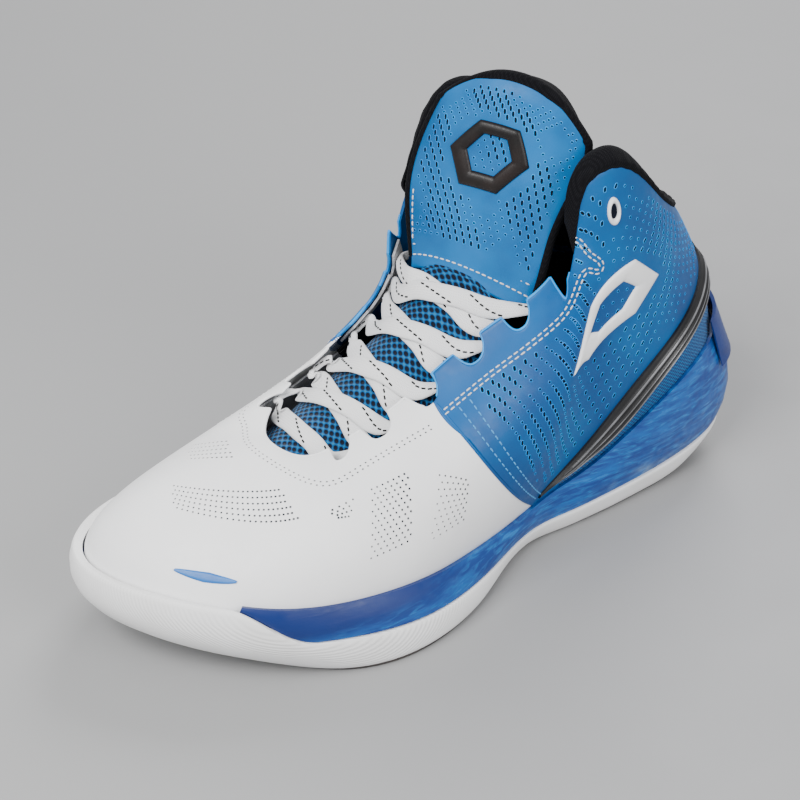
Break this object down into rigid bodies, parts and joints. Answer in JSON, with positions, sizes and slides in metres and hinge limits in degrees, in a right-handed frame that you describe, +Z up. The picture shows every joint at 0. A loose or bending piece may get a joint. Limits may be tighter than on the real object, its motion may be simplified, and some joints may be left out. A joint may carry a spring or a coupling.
{
  "type": "basketball_high_top_shoe",
  "caption": "Left basketball high top with a white perforated forefoot, blue perforated quarters, padded ankle wings, a folding tongue, flat lacing and a cupped rubber sole.",
  "frame": {"origin": "bottom centre of the shoe's box, on the floor under the shoe", "axes": "toe towards -Y, heel towards +Y, outer (lateral) side towards +X, +Z up"},
  "size_m": [0.1244, 0.3086, 0.2002],
  "materials": {
    "white_rubber": "matt with a fine hatch",
    "blue_foam": "satin, streaked lighter at the heel",
    "black_plate": "satin",
    "board_fibre": "fibre board",
    "navy_knit": "knit over foam",
    "white_synthetic": "satin synthetic, perforated",
    "grey_textile": "woven",
    "stiffener": "stiffened felt",
    "blue_synthetic": "satin synthetic, perforated",
    "cyan_mesh": "open mesh",
    "cyan_synthetic": "satin synthetic, perforated",
    "black_textile": "knitted",
    "padding": "open-cell foam",
    "blue_plate": "satin",
    "white_plate": "satin",
    "white_lace": "flat woven"
  },
  "bodies": {
    "shoe": {"collar_foam": "padding", "collar_lining": "black_textile", "heel_backstay": "black_textile", "heel_clip": "blue_plate", "heel_counter": "stiffener", "heel_panel": "cyan_mesh", "lace": "white_lace", "lateral_ankle_eyelet": "white_plate", "lateral_eyestay": "grey_textile", "lateral_fin": "black_plate", "lateral_quarter": "blue_synthetic", "lateral_side_mark": "white_plate", "medial_ankle_eyelet": "white_plate", "medial_eyestay": "grey_textile", "medial_fin": "black_plate", "medial_quarter": "blue_synthetic", "medial_side_mark": "white_plate", "midsole": "blue_foam", "outsole": "white_rubber", "quarter_lining": "black_textile", "shank_plate": "black_plate", "strobel_board": "board_fibre", "toe_mark": "blue_plate", "toe_puff": "stiffener", "vamp_lining": "grey_textile", "vamp_panel": "white_synthetic"},
    "tongue": {"tongue_mesh": "cyan_mesh"},
    "tongue_top": {"tongue_panel": "cyan_synthetic", "tongue_foam": "padding", "tongue_lining": "black_textile", "tongue_badge": "black_plate"},
    "sockliner_body": {"sockliner": "navy_knit"}
  },
  "joints": [
    {"name": "tongue_press", "type": "hinge", "parent": "shoe", "child": "tongue", "pos_m": [-0.00929, -0.08131, 0.05611], "axis": [-1, 0, 0], "range_deg": [0, 4], "stiffness_Nm_per_rad": 1},
    {"name": "tongue_fold", "type": "hinge", "parent": "tongue", "child": "tongue_top", "pos_m": [-0.00794, 0.01884, 0.1214], "axis": [0.8686, 0.478, -0.1307], "range_deg": [0, 30]},
    {"name": "sockliner_lift", "type": "hinge", "parent": "shoe", "child": "sockliner_body", "pos_m": [-0.01137, -0.13216, 0.026], "axis": [1, 0, 0], "range_deg": [0, 6]}
  ]
}
